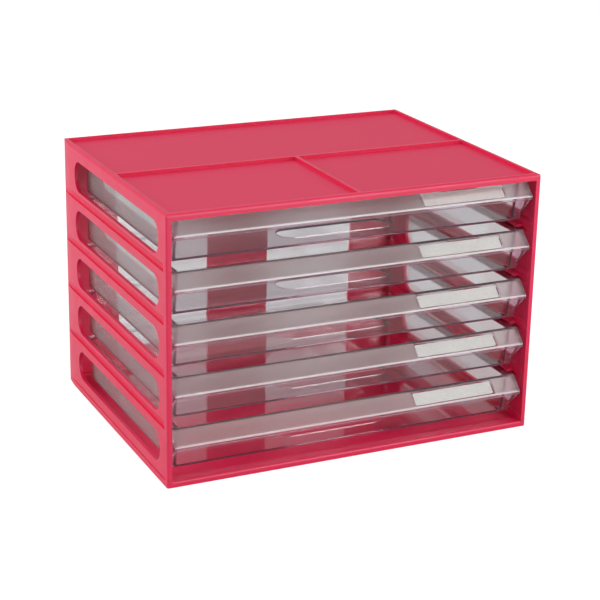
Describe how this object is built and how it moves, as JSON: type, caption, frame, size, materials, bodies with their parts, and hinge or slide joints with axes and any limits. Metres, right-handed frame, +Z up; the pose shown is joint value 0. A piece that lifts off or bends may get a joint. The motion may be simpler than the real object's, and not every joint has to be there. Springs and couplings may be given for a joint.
{
  "type": "drawer organizer",
  "caption": "Desktop tower of wide, shallow clear drawers with overhanging label fronts, in a coloured moulded casing with windowed, grooved sides.",
  "frame": {"origin": "middle of the underside, on the surface that the tower stands on", "axes": "+X to the right as seen from the front, +Y to the back, +Z up; drawers pull out along -Y"},
  "size_m": [0.33, 0.255, 0.225],
  "materials": {
    "casing_plastic": "satin crimson-pink moulded polystyrene, finely grained on the flats",
    "drawer_plastic": "clear moulded polystyrene, frosted on the slanted fronts",
    "card_paper": "matt white card"
  },
  "bodies": {
    "casing": {"top_panel": "casing_plastic", "base_panel": "casing_plastic", "left_side": "casing_plastic", "right_side": "casing_plastic", "back_panel": "casing_plastic"},
    "sliding_drawer_1": {"drawer_1": "drawer_plastic", "label_card_1": "card_paper"},
    "sliding_drawer_2": {"drawer_2": "drawer_plastic", "label_card_2": "card_paper"},
    "sliding_drawer_3": {"drawer_3": "drawer_plastic", "label_card_3": "card_paper"},
    "sliding_drawer_4": {"drawer_4": "drawer_plastic", "label_card_4": "card_paper"},
    "sliding_drawer_5": {"drawer_5": "drawer_plastic", "label_card_5": "card_paper"}
  },
  "joints": [
    {"name": "drawer_1_slide", "type": "slide", "parent": "casing", "child": "sliding_drawer_1", "axis": [0, -1, 0], "range_m": [0, 0.165]},
    {"name": "drawer_2_slide", "type": "slide", "parent": "casing", "child": "sliding_drawer_2", "axis": [0, -1, 0], "range_m": [0, 0.165]},
    {"name": "drawer_3_slide", "type": "slide", "parent": "casing", "child": "sliding_drawer_3", "axis": [0, -1, 0], "range_m": [0, 0.165]},
    {"name": "drawer_4_slide", "type": "slide", "parent": "casing", "child": "sliding_drawer_4", "axis": [0, -1, 0], "range_m": [0, 0.165]},
    {"name": "drawer_5_slide", "type": "slide", "parent": "casing", "child": "sliding_drawer_5", "axis": [0, -1, 0], "range_m": [0, 0.165]}
  ]
}
